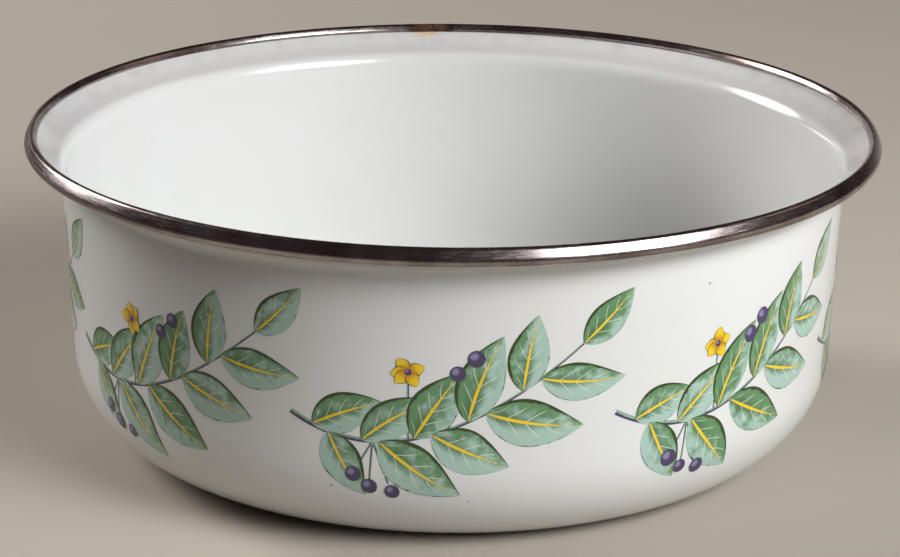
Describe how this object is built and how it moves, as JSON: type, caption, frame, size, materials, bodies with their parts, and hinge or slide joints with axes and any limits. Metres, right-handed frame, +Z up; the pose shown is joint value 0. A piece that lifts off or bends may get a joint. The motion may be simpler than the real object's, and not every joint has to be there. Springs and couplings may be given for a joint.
{
  "type": "enamelled steel bowl",
  "caption": "Deep round enamelled steel bowl with near-upright walls, a flat foot, a flared lip and a stainless band crimped over the rim, for mixing, serving or washing food.",
  "frame": {"origin": "where the bowl's axis meets the surface that it stands on", "axes": "+Z up along the bowl's axis, -Y towards the side seen in the picture, +X to the right of that side; the band's seam is at the back, near +Y"},
  "size_m": [0.24, 0.24, 0.0894],
  "materials": {
    "outer_enamel": "gloss white vitreous enamel with a fired leaf print",
    "inner_enamel": "gloss white vitreous enamel",
    "sheet_steel": "drawn low-carbon sheet steel, hidden by the enamel and the band",
    "stainless": "rolled stainless strip, bright with fine wear scratches"
  },
  "bodies": {
    "root": {"outer_glaze": "outer_enamel", "steel_shell": "sheet_steel", "inner_glaze": "inner_enamel", "rim_band": "stainless"}
  },
  "joints": []
}
